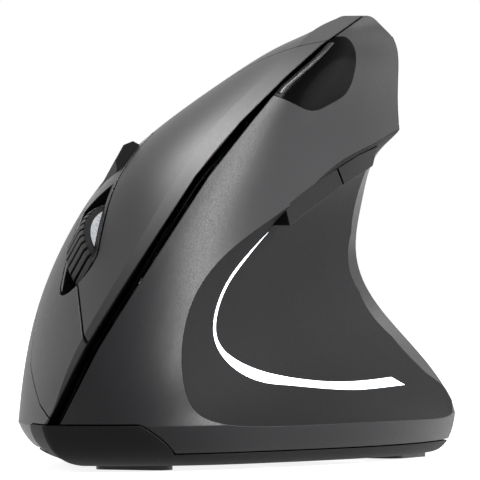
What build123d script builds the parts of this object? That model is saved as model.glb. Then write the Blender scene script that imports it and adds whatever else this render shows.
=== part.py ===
"""Vertical ergonomic mouse for the right hand, in millimetres.

+Z is up and z = 0 is the desk under the glide feet. The nose points to -Y, the thumb side faces +X and the
finger side faces -X. The origin is the middle of the footprint on the desk.
"""
import os

from build123d import *

# Driving sizes of the whole body
BODY_WIDTH = 60.0
BODY_LENGTH = 118.0
BODY_HEIGHT = 75.0
WALL = 2.2
SEAM = 0.25
OVERRUN = 40.0
FOOTPRINT_SHIFT = (0.05, -0.89, 0.0)

# Shares of BODY_HEIGHT, BODY_WIDTH and BODY_LENGTH at each level of the outer skin.
# Each row: height, edge band, thumb bulge, then x and y of the ridge, the front quarter, the widest finger
# point, the back quarter, the heel and the crisp rear corner.
FOOT_SHARES = [
    (0.011, 0.010, 0.233, (-0.005, -0.407), (-0.122, -0.288), (-0.405, -0.034), (-0.355, 0.229), (-0.072, 0.441),
     (0.395, 0.339)),
    (0.040, 0.010, 0.267, (-0.030, -0.466), (-0.205, -0.331), (-0.443, -0.034), (-0.388, 0.240), (-0.082, 0.463),
     (0.428, 0.358)),
    (0.100, 0.013, 0.283, (-0.038, -0.496), (-0.247, -0.356), (-0.463, -0.034), (-0.405, 0.246), (-0.088, 0.475),
     (0.445, 0.364)),
]
BODY_SHARES = [
    (0.100, 0.013, 0.283, (-0.038, -0.496), (-0.247, -0.356), (-0.463, -0.034), (-0.405, 0.246), (-0.088, 0.475),
     (0.445, 0.364)),
    (0.187, 0.016, 0.217, (0.002, -0.474), (-0.255, -0.322), (-0.497, -0.008), (-0.438, 0.263), (-0.105, 0.492),
     (0.412, 0.369)),
    (0.267, 0.027, 0.167, (0.035, -0.450), (-0.263, -0.288), (-0.505, 0.008), (-0.443, 0.271), (-0.105, 0.498),
     (0.387, 0.371)),
    (0.373, 0.037, 0.125, (0.083, -0.403), (-0.263, -0.242), (-0.493, 0.034), (-0.430, 0.280), (-0.105, 0.496),
     (0.355, 0.371)),
    (0.507, 0.051, 0.083, (0.135, -0.328), (-0.238, -0.186), (-0.438, 0.068), (-0.380, 0.284), (-0.088, 0.479),
     (0.322, 0.369)),
    (0.640, 0.064, 0.063, (0.172, -0.236), (-0.188, -0.119), (-0.338, 0.102), (-0.288, 0.284), (-0.038, 0.445),
     (0.295, 0.364)),
    (0.760, 0.082, 0.043, (0.215, -0.131), (-0.097, -0.030), (-0.205, 0.144), (-0.163, 0.288), (0.037, 0.411),
     (0.275, 0.358)),
    (0.860, 0.077, 0.032, (0.258, -0.025), (0.020, 0.051), (-0.063, 0.186), (-0.035, 0.292), (0.112, 0.386),
     (0.277, 0.353)),
    (0.933, 0.083, 0.022, (0.285, 0.069), (0.128, 0.114), (0.062, 0.212), (0.078, 0.292), (0.178, 0.360),
     (0.280, 0.344)),
    (1.013, 0.042, 0.008, (0.312, 0.212), (0.245, 0.225), (0.195, 0.254), (0.203, 0.292), (0.253, 0.326),
     (0.287, 0.318)),
]
BAND_SLOPE_SHARES = (-0.96, 0.28)
THUMB_CURVE_SHARES = [(0.12, 0.80), (0.35, 1.0), (0.65, 0.85)]

# Shares of the body's sizes at each level of the thumb scoop.
# Each row: height, factor on the wall, then x and y of the wall's front, middle and back.
SCOOP_SHARES = [
    (0.053, 2.2, (0.60, -0.27), (0.61, 0.03), (0.58, 0.38)),
    (0.100, 2.2, (0.373, -0.268), (0.490, 0.034), (0.453, 0.367)),
    (0.160, 2.0, (0.275, -0.329), (0.318, 0.034), (0.382, 0.376)),
    (0.267, 1.15, (0.228, -0.331), (0.165, 0.034), (0.185, 0.411)),
    (0.373, 1.0, (0.225, -0.293), (0.118, 0.059), (0.062, 0.441)),
    (0.505, 1.0, (0.258, -0.156), (0.118, 0.144), (0.038, 0.455)),
    (0.642, 1.3, (0.288, 0.083), (0.215, 0.246), (0.140, 0.381)),
    (0.742, 1.5, (0.320, 0.271), (0.295, 0.314), (0.273, 0.356)),
    (0.830, 1.5, (0.445, 0.271), (0.428, 0.314), (0.412, 0.356)),
]
SCOOP_REACH_SHARE = 0.13

# Seam between the palm shell and the thumb shell at the rear, at each level of BODY_SHARES
SEAM_SHARES = [
    (0.445, 0.364),
    (0.335, 0.392),
    (0.192, 0.440),
    (0.057, 0.464),
    (0.037, 0.461),
    (0.125, 0.412),
    (0.275, 0.358),
    (0.277, 0.353),
    (0.280, 0.344),
    (0.287, 0.318),
]
REAR_SEAM_SHARES = (-0.83, -0.55)
SEAM_DEPTH = 4.5
CORE_LEVELS = 8
CORE_DROP = 0.8
RIDGE_GAP = 2.2
UPPER_GAP = 1.9
WINDOW_GAP = 0.5
RIDGE_GAPS = [RIDGE_GAP] * 6 + [UPPER_GAP] + [WINDOW_GAP] * 2 + [SEAM]

# Parting line between the bottom case and the shells, front to back
PARTING_SHARES = [(-0.60, 0.102), (-0.445, 0.102), (-0.385, 0.037), (0.60, 0.037)]

# Crown over the top, as shares of the length and the height
CROWN_SHARES = [(0.09, 0.972), (0.220, 1.0), (0.339, 0.953)]


# Finger plane: x runs towards the nose, y up towards the ridge, z out of the finger side
FINGER_POINT_SHARES = (-0.147, -0.216, 0.493)
FINGER_FORWARD_SHARES = (0.071, -0.843, -0.533)
FINGER_OUT_SHARES = (-0.794, -0.371, 0.482)
FINGER_OUTSIDE = 20.0
FINGER_INSIDE = 32.0

# Outlines in the finger plane
GROOVE_TIP = (33.2, 6.4)
GROOVE_FOOT = (13.2, 0.9)
LEFT_REACH = (46.0, 13.0)
LEFT_BACK_LOW = (-36.0, 0.0)
LEFT_BACK_HIGH = (-47.0, 27.0)
LEFT_BACK_TOP = (-52.0, 45.0)
RIGHT_BACK = (-33.0, -18.0)
RIGHT_LOW = (0.0, -18.0)
RIGHT_LOW_FRONT = (18.0, -15.0)
RIGHT_NOSE_LOW = (35.5, -7.3)
RIGHT_NOSE_TIP = (46.0, -1.0)
RIGHT_REACH = (62.0, 8.0)
STRIP_LENGTH = 43.0
STRIP_WIDTH = 9.8
STRIP_MIDDLE = -8.5
BUTTON_GAP = 0.5
RELIEF = 1.1
SWITCH_RELIEF = 0.8

# Scroll wheel, in the finger plane
WHEEL_RADIUS = 10.8
WHEEL_WIDTH = 7.0
WHEEL_DEPTH = 7.0
TYRE_DEPTH = 1.6
HUB_WIDTH = 7.6
HUB_RECESS = 2.4
HUB_RIM = 1.5
HUB_BOSS_RADIUS = 3.2
TYRE_GROOVES = 44
GROOVE_DEPTH = 0.35
GROOVE_WIDTH = 0.55
AXLE_RADIUS = 1.25
AXLE_FIT = 0.05
AXLE_LOW = -8.6
AXLE_HIGH = 5.4
SLOT_LENGTH = 21.6
SLOT_WIDTH = 8.4

# Wheel carrier and its pivot
ARM_THICK = 1.2
ARM_INNER = 4.25
ARM_TOP = -6.58
ARM_BOTTOM = -9.3
ARM_FRONT = 13.8
BRIDGE_LENGTH = 2.4
PIVOT_X = -12.9
PIVOT_RADIUS = 1.2
PIVOT_REACH = 7.2
CARRIER_BOSS_RADIUS = 2.4
EAR_INNER = 5.85
EAR_THICK = 1.4
EAR_HALF = 2.4

# Inner frame and button board, in the finger plane
BOARD_TOP = -11.0
BOARD_THICK = 1.2
FRAME_THICK = 1.8
BOARD_FRONT = 20.0
BOARD_BACK = -30.0
BOARD_LOW = -12.0
BOARD_HIGH = 12.0
BOARD_NOSE_LOW = -9.0
BOARD_NOSE_HIGH = 4.0
BOARD_NOSE_STEP = 8.0
BOARD_SLOT_LENGTH = 23.2
BOARD_SLOT_WIDTH = 8.8
LEG_RADIUS = 2.2

# Legs of the inner frame: x and y in the finger plane and where each foot stands
LEG_PLACES = [(-26.0, -9.5, 15.2), (-25.0, 3.0, 15.2), (19.5, 0.0, 2.8)]

# Microswitches, in the finger plane
SWITCH_LENGTH = 12.8
SWITCH_WIDTH = 5.8
SWITCH_HEIGHT = 6.0
SWITCH_X = -22.5
SWITCH_Y = 7.4
PLUNGER_RADIUS = 0.7
PLUNGER_HEIGHT = 0.6
PLUNGER_WELL = 1.4
POST_SIZE = 2.6
LEFT_POST = (7.4, -2.6)
RIGHT_POST = (-7.4, 2.6)
POST_GAP = 0.02
TACT_SIZE = 3.2
TACT_HEIGHT = 2.7
TACT_PLUNGER = 0.5
CLICK_X = 12.6

# Rocker behind the wheel, in the finger plane
ROCKER_X = -20.7
ROCKER_LENGTH = 9.0
ROCKER_WIDTH = 6.0
ROCKER_GAP = 0.3
ROCKER_FOOT = -0.6
ROCKER_CREST = 3.9
ROCKER_EDGE = 2.8
ROCKER_STEM = 1.1

# Thumb side pieces, drawn in the side view as shares of the length and the height
FRONT_KEY_SHARES = [(-0.037, 0.577), (0.025, 0.612), (0.124, 0.655), (0.138, 0.618), (0.050, 0.573), (-0.030, 0.530)]
BACK_KEY_SHARES = [(0.130, 0.657), (0.203, 0.686), (0.277, 0.705), (0.250, 0.662), (0.200, 0.642), (0.143, 0.620)]
KEY_SINK = 1.0
KEY_GAP = 0.3
GLOW_OUTER_SHARES = [(-0.018, 0.519), (-0.112, 0.436), (-0.180, 0.353), (-0.200, 0.287), (-0.164, 0.217),
                     (-0.051, 0.176), (0.119, 0.159), (0.286, 0.164)]
GLOW_INNER_SHARES = [(0.280, 0.182), (0.076, 0.180), (-0.027, 0.196), (-0.131, 0.232), (-0.186, 0.291),
                     (-0.166, 0.353), (-0.101, 0.428), (-0.016, 0.515)]
GLOW_DEPTH = 1.4
WINDOW_LINE_SHARES = [(-0.063, 0.821), (0.098, 0.949)]
WINDOW_CURVE_SHARES = [(0.169, 0.885), (0.161, 0.843), (0.108, 0.804), (0.047, 0.785), (-0.014, 0.800)]
WINDOW_DEPTH = 1.4
WINDOW_GROOVE = 0.3
SPINE_INNER = 1.2
SPINE_OUTER = 1.6
SPINE_NECK = 1.45
SPINE_END_INNER = 1.0
SPINE_END = 1.2
SPINE_START = 0.12
SPINE_TOP = 1.5
SPINE_DEPTH = 3.6
SPINE_LEVELS = 7

# Bottom case, battery bay and door
FLOOR_TOP = 2.8
FOOT_HEIGHT = 0.8
BAY_X = -1.9
BAY_Y = 17.5
BAY_WIDTH = 22.0
BAY_LENGTH = 45.8
BAY_WALL = 1.2
BAY_TOP = 14.0
CELL_RADIUS = 5.15
CELL_LENGTH = 43.2
CELL_NUB_RADIUS = 1.9
CELL_NUB_LENGTH = 1.2
CELL_PITCH = 11.0
CELL_Z = 8.5
PLATE_THICK = 0.4
DOOR_GAP = 0.25
DOOR_BOTTOM = 0.9
DOOR_THICK = 1.6
DOOR_RIBS = 5
DOOR_RIB_WIDTH = 1.0
DOOR_RIB_DEPTH = 0.5

# Wireless receiver in its slot
RECEIVER_X = 17.2
RECEIVER_Y = 12.0
RECEIVER_WIDTH = 12.0
RECEIVER_LENGTH = 18.6
RECEIVER_CAP = 6.2
RECEIVER_THICK = 4.5
RECEIVER_BOTTOM = 1.0
RECEIVER_GAP = 0.3
RECEIVER_WALL = 1.0

# Main board, sensor and power switch
MAIN_Z = 5.6
MAIN_THICK = 1.2
MAIN_FRONT = -31.2
MAIN_BACK = -8.2
MAIN_HALF = 11.8
MAIN_PEGS = [(-9.5, -29.3), (9.5, -29.3), (-9.5, -10.4), (9.5, -10.4)]
PEG_RADIUS = 1.7
SENSOR_X = 0.0
SENSOR_Y = -22.0
LENS_WIDTH = 12.0
LENS_LENGTH = 16.0
APERTURE_RADIUS = 3.2
CHIP_WIDTH = 9.0
CHIP_LENGTH = 11.0
CHIP_HEIGHT = 2.4
POWER_X = 9.5
POWER_Y = -24.0
POWER_WIDTH = 3.6
POWER_KNOB = 4.4
POWER_TRAVEL = 3.0
POWER_GAP = 0.2
POWER_BOTTOM = 0.5
POWER_FLANGE = 0.6
POWER_RIM = 1.1
LENS_BOTTOM = 1.4

# Glide feet: x, y, width, length
FEET = [(4.0, -38.0, 13.0, 5.5), (-17.0, 22.0, 5.5, 18.0), (20.0, 33.0, 6.5, 14.0)]
FOOT_ROUND = 2.4

# Case screws: x, y of each
SCREW_PLACES = [(-19.5, 0.0), (-17.5, 32.5), (18.5, -18.0), (16.5, 38.5)]
SCREW_HEAD_RADIUS = 1.9
SCREW_HEAD_HEIGHT = 1.0
SCREW_RADIUS = 1.0
SCREW_LENGTH = 5.0
SCREW_BOSS_RADIUS = 2.6
SCREW_RECESS = 1.3


def place(pair, height_share):
    """Turns two plan shares and a height share into a point."""
    return Vector(pair[0] * BODY_WIDTH, pair[1] * BODY_LENGTH, height_share * BODY_HEIGHT)


def skin_points(row):
    """Points of one level: ridge, front quarter, widest, back quarter, heel, corner, then along the thumb side."""
    level, bulge = row[0], row[2] * BODY_WIDTH
    points = [place(pair, level) for pair in row[3:]]
    chord = points[-1] - points[0]
    outward = Vector(chord.Y, -chord.X, 0).normalized()
    thumb = [points[0] + chord * along + outward * bulge * out for along, out in THUMB_CURVE_SHARES]
    return points + thumb[::-1]


def skin_section(row):
    """One level of the outer skin: the edge band, the finger side round to the corner, and the thumb side."""
    ring = skin_points(row)
    crease = ring[0] + Vector(BAND_SLOPE_SHARES[0], BAND_SLOPE_SHARES[1], 0) * row[1] * BODY_WIDTH
    return Face(Wire([Line(ring[0], crease), Spline(crease, *ring[1:6]), Spline(*ring[5:], ring[0])]))


def core_section(row):
    """One level of the hollow: each point moved in by the wall, and by more at the two sharp corners."""
    ring = skin_points(row)
    moved = []
    for index, point in enumerate(ring):
        along = (ring[(index + 1) % len(ring)] - ring[index - 1]).normalized()
        distance = SEAM_DEPTH if index in (0, 5) else WALL
        moved.append(point + Vector(along.Y, -along.X, 0) * distance)
    return Face(Wire([Spline(*moved[:6]), Spline(*moved[5:], moved[0])]))


def skin_solid(rows):
    """Smooth body through the levels of the outer skin."""
    return loft([skin_section(row) for row in rows])


def core_solid():
    """Hollow inside the shells, clear of the scoop by the wall."""
    rows = [FOOT_SHARES[1]] + BODY_SHARES[:CORE_LEVELS]
    hollow = loft([core_section(row) for row in rows])
    return Pos(0, 0, -CORE_DROP * WALL) * hollow - scoop_solid(WALL)


def scoop_solid(shift=0.0):
    """Space of the thumb rest, grown into the body by the shift."""
    sections = []
    for level, factor, front, middle, back in SCOOP_SHARES:
        move = Vector(-shift * factor, 0, 0)
        points = [place(pair, level) + move for pair in (front, middle, back)]
        reach = SCOOP_REACH_SHARE * BODY_LENGTH
        first = points[0] + (points[0] - points[1]).normalized() * reach
        last = points[2] + (points[2] - points[1]).normalized() * reach
        far = BODY_WIDTH + OVERRUN
        far_last = Vector(far, last.Y, last.Z)
        far_first = Vector(far, first.Y, first.Z)
        edges = [
            Spline(first, *points, last),
            Line(last, far_last),
            Line(far_last, far_first),
            Line(far_first, first),
        ]
        sections.append(Face(Wire(edges)))
    return loft(sections)


def crown_solid():
    """Everything above the gently crowned top."""
    ends = [Vector(0, y * BODY_LENGTH, z * BODY_HEIGHT) for y, z in CROWN_SHARES]
    high = BODY_HEIGHT + OVERRUN
    front_low = Vector(0, -BODY_LENGTH, ends[0].Z)
    front_high = Vector(0, -BODY_LENGTH, high)
    back_high = Vector(0, BODY_LENGTH, high)
    back_low = Vector(0, BODY_LENGTH, ends[2].Z - OVERRUN)
    edges = [
        Line(front_low, ends[0]),
        ThreePointArc(*ends),
        Line(ends[2], back_low),
        Line(back_low, back_high),
        Line(back_high, front_high),
        Line(front_high, front_low),
    ]
    profile = Face(Wire(edges))
    return extrude(profile, BODY_WIDTH, dir=Vector(1, 0, 0), both=True)


def outer_body():
    """The whole outer form with its scoop."""
    body = skin_solid(FOOT_SHARES) + skin_solid(BODY_SHARES)
    body = body - crown_solid()
    return body - scoop_solid()


def floor_profile(lift=0.0):
    """Everything below the parting line between the bottom case and the shells."""
    line = [Vector(0, y * BODY_LENGTH, z * BODY_HEIGHT + lift) for y, z in PARTING_SHARES]
    low_back = Vector(0, line[-1].Y, -OVERRUN)
    low_front = Vector(0, line[0].Y, -OVERRUN)
    profile = Face(Wire(Polyline(*line, low_back, low_front, close=True)))
    return extrude(profile, BODY_WIDTH, dir=Vector(1, 0, 0), both=True)


def seam_section(row, gap):
    """One level of the space on the finger side of the seam that runs along the ridge and the rear edge."""
    level = row[0]
    ridge, side, corner = place(row[3], level), place(row[5], level), place(row[8], level)
    seam = place(SEAM_SHARES[BODY_SHARES.index(row)], level)
    chord = corner - ridge
    outward = Vector(chord.Y, -chord.X, 0).normalized()
    along, out = THUMB_CURVE_SHARES[0]
    thumb = (chord * along + outward * row[2] * BODY_WIDTH * out).normalized()
    band = Vector(BAND_SLOPE_SHARES[0], BAND_SLOPE_SHARES[1], 0)
    inside = (thumb + band).normalized()
    across = Vector(inside.Y, -inside.X, 0)
    rear_inside = Vector(REAR_SEAM_SHARES[0], REAR_SEAM_SHARES[1], 0)
    rear_across = Vector(-rear_inside.Y, rear_inside.X, 0)
    depth = SEAM_DEPTH
    front_gap = across * gap
    middle = (ridge + side + corner) / 3
    back_gap = rear_across * min(gap, SEAM)
    points = [
        ridge - inside * OVERRUN + front_gap,
        ridge + front_gap,
        ridge + inside * depth + front_gap,
        middle + front_gap,
        seam + rear_inside * depth + back_gap,
        seam + back_gap,
        seam - rear_inside * OVERRUN + back_gap,
    ]
    far = -BODY_WIDTH - OVERRUN
    ring = points + [Vector(far, points[-1].Y, points[0].Z), Vector(far, points[0].Y, points[0].Z)]
    return ring


def seam_solid(gaps):
    """Space on the finger side of the seam, moved towards the thumb by a gap at each level."""
    rings = [seam_section(row, gap) for row, gap in zip(BODY_SHARES, gaps)]
    low = [Vector(point.X, point.Y, -OVERRUN) for point in rings[0]]
    high = [Vector(point.X, point.Y, BODY_HEIGHT + OVERRUN) for point in rings[-1]]
    rings = [low] + rings + [high]
    return loft([Face(Wire(Polyline(*ring, close=True))) for ring in rings], ruled=True)


def whole_share(shares):
    """A point from one share of each overall size."""
    return Vector(shares[0] * BODY_WIDTH, shares[1] * BODY_LENGTH, shares[2] * BODY_HEIGHT)


FINGER_OUT = Vector(*FINGER_OUT_SHARES).normalized()
FINGER_FORWARD = Vector(*FINGER_FORWARD_SHARES)
FINGER = Plane(whole_share(FINGER_POINT_SHARES), x_dir=FINGER_FORWARD, z_dir=FINGER_OUT)


def finger_outline(points):
    """A prism through the finger side with this outline in the finger plane."""
    face = Face(Wire(Polyline(*[(x, y, -FINGER_INSIDE) for x, y in points], close=True)))
    return FINGER.location * extrude(face, FINGER_INSIDE + FINGER_OUTSIDE, dir=Vector(0, 0, 1))


def finger_box(x0, x1, y0, y1, z0, z1):
    """A box between these places in the finger plane."""
    middle = Pos((x0 + x1) / 2, (y0 + y1) / 2, (z0 + z1) / 2)
    return FINGER.location * middle * Box(x1 - x0, y1 - y0, z1 - z0)


def finger_rod(x, z, radius, y0, y1):
    """A rod across the finger plane, from y0 to y1."""
    turned = Pos(x, (y0 + y1) / 2, z) * Rot(90, 0, 0)
    return FINGER.location * turned * Cylinder(radius, y1 - y0)


def finger_pin(x, y, radius, z0, z1):
    """A pin standing out of the finger plane."""
    return FINGER.location * Pos(x, y, (z0 + z1) / 2) * Cylinder(radius, z1 - z0)


def strip_prism(grow=0.0):
    """The round-ended strip between the two main buttons."""
    shape = SlotOverall(STRIP_LENGTH + 2 * grow, STRIP_WIDTH + 2 * grow)
    deep = extrude(shape, FINGER_INSIDE + FINGER_OUTSIDE)
    return FINGER.location * Pos(STRIP_MIDDLE, 0, -FINGER_INSIDE) * deep


def side_prism(face, low=0.0):
    """A prism along X from a face drawn in the side view."""
    return extrude(face, BODY_WIDTH, dir=Vector(1, 0, 0))


def side_points(shares):
    return [Vector(0, y * BODY_LENGTH, z * BODY_HEIGHT) for y, z in shares]


def ridge_axes(row):
    """The ridge point of a level, the direction into the body and the direction across to the thumb side."""
    ridge, corner = place(row[3], row[0]), place(row[8], row[0])
    chord = corner - ridge
    outward = Vector(chord.Y, -chord.X, 0).normalized()
    along, out = THUMB_CURVE_SHARES[0]
    thumb = (chord * along + outward * row[2] * BODY_WIDTH * out).normalized()
    band = Vector(BAND_SLOPE_SHARES[0], BAND_SLOPE_SHARES[1], 0)
    inside = (thumb + band).normalized()
    return ridge, inside, Vector(inside.Y, -inside.X, 0)


def make_spine():
    """The strip at the bottom of the recess along the ridge."""
    levels = []
    inners = [SPINE_INNER] * (SPINE_LEVELS - 1) + [SPINE_END_INNER]
    outers = [SPINE_OUTER] * (SPINE_LEVELS - 2) + [SPINE_NECK, SPINE_END]
    for row, inner, outer in zip(BODY_SHARES, inners, outers):
        ridge, inside, across = ridge_axes(row)
        levels.append([
            ridge + across * inner + inside * SPINE_TOP,
            ridge + across * outer + inside * SPINE_TOP,
            ridge + across * outer + inside * SPINE_DEPTH,
            ridge + across * inner + inside * SPINE_DEPTH,
        ])
    levels[0] = [low + (high - low) * SPINE_START for low, high in zip(levels[0], levels[1])]
    return loft([Face(Wire(Polyline(*points, close=True))) for points in levels])


def make_wheel():
    """Ribbed tyre on a dished hub with its axle."""
    turn = FINGER.location * Pos(0, 0, -WHEEL_DEPTH) * Rot(90, 0, 0)
    bed = WHEEL_RADIUS - TYRE_DEPTH
    half = WHEEL_WIDTH / 2
    crown = GROOVE_DEPTH
    profile = Wire([
        Line((bed, 0, -half), (WHEEL_RADIUS - crown, 0, -half)),
        Line((WHEEL_RADIUS - crown, 0, -half), (WHEEL_RADIUS, 0, -half + 2 * crown)),
        Line((WHEEL_RADIUS, 0, -half + 2 * crown), (WHEEL_RADIUS, 0, half - 2 * crown)),
        Line((WHEEL_RADIUS, 0, half - 2 * crown), (WHEEL_RADIUS - crown, 0, half)),
        Line((WHEEL_RADIUS - crown, 0, half), (bed, 0, half)),
        Line((bed, 0, half), (bed, 0, -half)),
    ])
    tyre = revolve(Face(profile), Axis.Z)
    groove = Pos(WHEEL_RADIUS, 0, 0) * Box(4 * GROOVE_DEPTH, GROOVE_WIDTH, WHEEL_WIDTH + OVERRUN)
    tyre = tyre - [Rot(0, 0, index * 360 / TYRE_GROOVES) * groove for index in range(TYRE_GROOVES)]
    wide = HUB_WIDTH / 2
    hub = Cylinder(bed, HUB_WIDTH)
    dish = Cylinder(bed - HUB_RIM, HUB_RECESS) - Cylinder(HUB_BOSS_RADIUS, HUB_RECESS)
    hub = hub - Pos(0, 0, wide - HUB_RECESS / 2) * dish
    hub = hub - Pos(0, 0, -wide + HUB_RECESS / 2) * dish
    axle = Pos(0, 0, -(AXLE_LOW + AXLE_HIGH) / 2) * Cylinder(AXLE_RADIUS, AXLE_HIGH - AXLE_LOW)
    return turn * tyre, turn * (hub + axle)


def make_carrier():
    """Cradle that holds the axle and rocks on a cross pin behind the wheel."""
    solid = None
    for side in (-1, 1):
        low, high = sorted((side * ARM_INNER, side * (ARM_INNER + ARM_THICK)))
        arm = finger_box(PIVOT_X, ARM_FRONT, low, high, ARM_BOTTOM, ARM_TOP)
        arm = arm + finger_rod(0, -WHEEL_DEPTH, CARRIER_BOSS_RADIUS, low, high)
        arm = arm + finger_rod(PIVOT_X, -WHEEL_DEPTH, CARRIER_BOSS_RADIUS, low, high)
        solid = arm if solid is None else solid + arm
    reach = ARM_INNER + ARM_THICK
    solid = solid + finger_box(ARM_FRONT - BRIDGE_LENGTH, ARM_FRONT, -reach, reach, ARM_TOP - ARM_THICK, ARM_TOP)
    solid = solid + finger_rod(PIVOT_X, -WHEEL_DEPTH, PIVOT_RADIUS, -PIVOT_REACH, PIVOT_REACH)
    return solid - finger_rod(0, -WHEEL_DEPTH, AXLE_RADIUS + AXLE_FIT, -OVERRUN, OVERRUN)


def make_encoder():
    """Box on the low side of the carrier that reads the turning axle."""
    outer = ARM_INNER + ARM_THICK
    box = finger_box(-4.5, 4.5, -outer - 3.6, -outer, -10.0, -3.2)
    return box - finger_rod(0, -WHEEL_DEPTH, AXLE_RADIUS + AXLE_FIT, -OVERRUN, OVERRUN)


def board_prism(z0, z1):
    """Plate with the outline of the button board and the opening for the wheel."""
    points = [
        (BOARD_FRONT, BOARD_NOSE_LOW),
        (BOARD_FRONT, BOARD_NOSE_HIGH),
        (BOARD_NOSE_STEP, BOARD_HIGH - BOARD_NOSE_HIGH),
        (-BOARD_NOSE_HIGH, BOARD_HIGH),
        (BOARD_BACK, BOARD_HIGH),
        (BOARD_BACK, BOARD_LOW),
        (BOARD_NOSE_STEP, BOARD_LOW),
    ]
    face = Face(Wire(Polyline(*[(x, y, z0) for x, y in points], close=True)))
    plate = FINGER.location * extrude(face, z1 - z0, dir=Vector(0, 0, 1))
    half_l, half_w = BOARD_SLOT_LENGTH / 2, BOARD_SLOT_WIDTH / 2
    return plate - finger_box(-half_l, half_l, -half_w, half_w, -OVERRUN, 0)


def make_inner_frame():
    """Plate under the button board, on three legs, with the two ears of the wheel carrier."""
    bottom = BOARD_TOP - BOARD_THICK - FRAME_THICK
    plate = board_prism(bottom, BOARD_TOP - BOARD_THICK)
    ears = []
    for side in (-1, 1):
        low, high = sorted((side * EAR_INNER, side * (EAR_INNER + EAR_THICK)))
        ear = finger_box(PIVOT_X - EAR_HALF, PIVOT_X + EAR_HALF, low, high, bottom, -WHEEL_DEPTH)
        ears.append(ear + finger_rod(PIVOT_X, -WHEEL_DEPTH, EAR_HALF, low, high))
    legs = []
    for x, y, foot in LEG_PLACES:
        spot = FINGER.from_local_coords(Vector(x, y, bottom))
        leg = Pos(spot.X, spot.Y, foot) * Cylinder(LEG_RADIUS, OVERRUN, align=(Align.CENTER, Align.CENTER, Align.MIN))
        legs.append(leg)
    above = finger_box(-BODY_LENGTH, BODY_LENGTH, -BODY_LENGTH, BODY_LENGTH, bottom + FRAME_THICK / 2, BODY_LENGTH)
    solid = plate + [leg - above for leg in legs] + ears
    return solid - finger_rod(PIVOT_X, -WHEEL_DEPTH, PIVOT_RADIUS + AXLE_FIT, -OVERRUN, OVERRUN)


def make_button_board():
    """Circuit board under the main buttons, notched round the ears."""
    board = board_prism(BOARD_TOP - BOARD_THICK, BOARD_TOP)
    for side in (-1, 1):
        low, high = sorted((side * (EAR_INNER - SEAM), side * (EAR_INNER + EAR_THICK + SEAM)))
        board = board - finger_box(PIVOT_X - EAR_HALF - SEAM, PIVOT_X + EAR_HALF + SEAM, low, high, -OVERRUN, 0)
    return board


def make_switch(x, y):
    """Microswitch housing and its plunger."""
    half_l, half_w = SWITCH_LENGTH / 2, SWITCH_WIDTH / 2
    top = BOARD_TOP + SWITCH_HEIGHT
    box = finger_box(x - half_l, x + half_l, y - half_w, y + half_w, BOARD_TOP, top)
    box = box - finger_pin(x, y, PLUNGER_RADIUS + SEAM, top - PLUNGER_WELL, top + PLUNGER_HEIGHT)
    return box, finger_pin(x, y, PLUNGER_RADIUS, top - PLUNGER_HEIGHT, top + PLUNGER_HEIGHT)


def make_tact(x, y):
    """Low push switch on the button board and its plunger."""
    half = TACT_SIZE / 2
    top = BOARD_TOP + TACT_HEIGHT
    box = finger_box(x - half, x + half, y - half, y + half, BOARD_TOP, top)
    box = box - finger_pin(x, y, PLUNGER_RADIUS + SEAM, top - PLUNGER_WELL, top + TACT_PLUNGER)
    return box, finger_pin(x, y, PLUNGER_RADIUS, top - TACT_PLUNGER, top + TACT_PLUNGER)


def button_post(spot):
    """Post under a main button that reaches down to its switch."""
    y, top = spot
    half = POST_SIZE / 2
    bottom = BOARD_TOP + SWITCH_HEIGHT + PLUNGER_HEIGHT + POST_GAP
    return finger_box(SWITCH_X - half, SWITCH_X + half, y - half, y + half, bottom, top)


def make_rocker():
    """Small rocker button with a stem down to its switch."""
    half = ROCKER_LENGTH / 2
    points = [
        (ROCKER_X - half, ROCKER_FOOT),
        (ROCKER_X - half, ROCKER_EDGE),
        (ROCKER_X - half / 2, ROCKER_CREST),
        (ROCKER_X + half / 2, ROCKER_CREST),
        (ROCKER_X + half, ROCKER_EDGE),
        (ROCKER_X + half, ROCKER_FOOT),
    ]
    face = Face(Wire(Polyline(*[(x, -ROCKER_WIDTH / 2, z) for x, z in points], close=True)))
    solid = FINGER.location * extrude(face, ROCKER_WIDTH, dir=Vector(0, 1, 0))
    stem_foot = BOARD_TOP + TACT_HEIGHT + TACT_PLUNGER + POST_GAP
    return solid + finger_pin(ROCKER_X, 0, ROCKER_STEM, stem_foot, ROCKER_FOOT + ROCKER_STEM)


def smooth_face(shares):
    """Closed face through hand-drawn side-view corners, rounded a little."""
    return Face(Wire(Polyline(*side_points(shares), close=True)))


def glow_face():
    """The long hooked band of the light guide in the side view."""
    outer = side_points(GLOW_OUTER_SHARES)
    inner = side_points(GLOW_INNER_SHARES)
    edges = [Spline(*outer), Line(outer[-1], inner[0]), Spline(*inner), Line(inner[-1], outer[0])]
    return Face(Wire(edges))


def window_face(grow=0.0):
    """The D of the window in the side view."""
    line = side_points(WINDOW_LINE_SHARES)
    curve = side_points(WINDOW_CURVE_SHARES)
    edges = [Line(*line), Spline(line[1], *curve, line[0])]
    return Face(Wire(edges))


def centred_box(x, y, width, length, z0, z1):
    return Pos(x, y, (z0 + z1) / 2) * Box(width, length, z1 - z0)


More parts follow.
